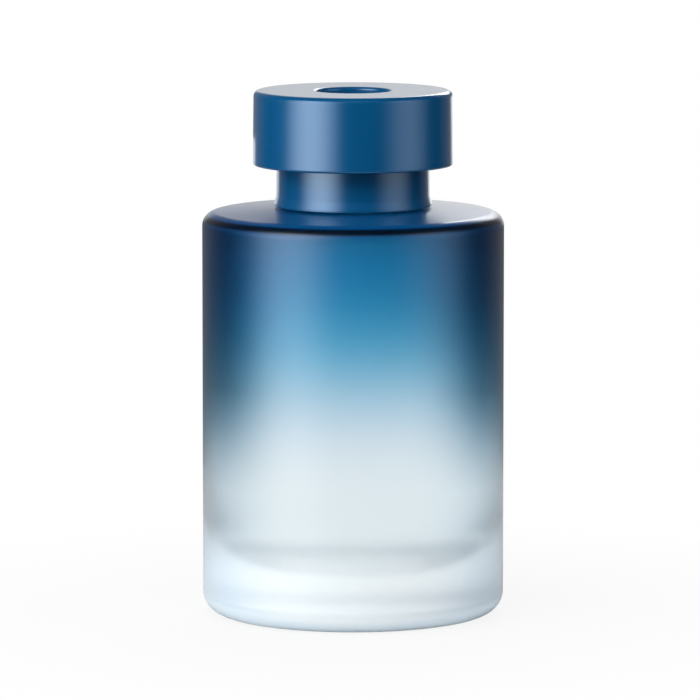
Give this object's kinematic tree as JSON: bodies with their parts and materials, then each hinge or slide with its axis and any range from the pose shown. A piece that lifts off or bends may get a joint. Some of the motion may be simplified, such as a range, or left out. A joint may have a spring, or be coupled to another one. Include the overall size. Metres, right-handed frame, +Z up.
{
  "type": "aftershave bottle",
  "caption": "Round heavy-based glass splash bottle, blue fading to clear, with a collared screw closure and a twist-open pouring head.",
  "frame": {"origin": "centre of the bottle's base, on the surface it stands on", "axes": "+Z up along the bottle's axis; the bottle is round, and -Y faces the picture's camera"},
  "size_m": [0.058, 0.058, 0.101],
  "materials": {
    "frosted_glass": "satin, blue lacquer fading to clear",
    "blue_lacquered_aluminium": "satin lacquer",
    "blue_plastic": "moulded",
    "natural_plastic": "moulded, translucent",
    "gasket_foam": "soft",
    "black_rubber": "matte",
    "weight_metal": "turned"
  },
  "bodies": {
    "bottle": {"glass_bottle": "frosted_glass"},
    "gasket": {"neck_gasket": "gasket_foam"},
    "closure": {"closure_base": "blue_plastic", "collar_sleeve": "blue_lacquered_aluminium", "valve_insert": "natural_plastic", "tower_o_ring": "black_rubber", "drag_o_ring": "black_rubber"},
    "twist_head": {"head_shell": "blue_lacquered_aluminium", "twist_core": "blue_plastic", "head_weight": "weight_metal", "under_ring": "blue_plastic"},
    "spout": {"spout": "blue_plastic"}
  },
  "joints": [
    {"name": "closure_rise", "type": "slide", "parent": "bottle", "child": "gasket", "axis": [0, 0, 1], "range_m": [0, 0.0127]},
    {"name": "closure_turn", "type": "hinge", "parent": "gasket", "child": "closure", "pos_m": [0, 0, 0.0883], "axis": [0, 0, 1], "range_deg": [0, 1440]},
    {"name": "head_twist", "type": "hinge", "parent": "closure", "child": "twist_head", "pos_m": [0, 0, 0.094], "axis": [0, 0, 1], "range_deg": [0, 120]},
    {"name": "spout_lift", "type": "slide", "parent": "closure", "child": "spout", "axis": [0, 0, 1], "range_m": [0, 0.0038]}
  ],
  "couplings": [
    {"joint": "closure_turn", "follows": "closure_rise", "rad_per_m": 1979},
    {"joint": "head_twist", "follows": "spout_lift", "rad_per_m": 551.16}
  ]
}
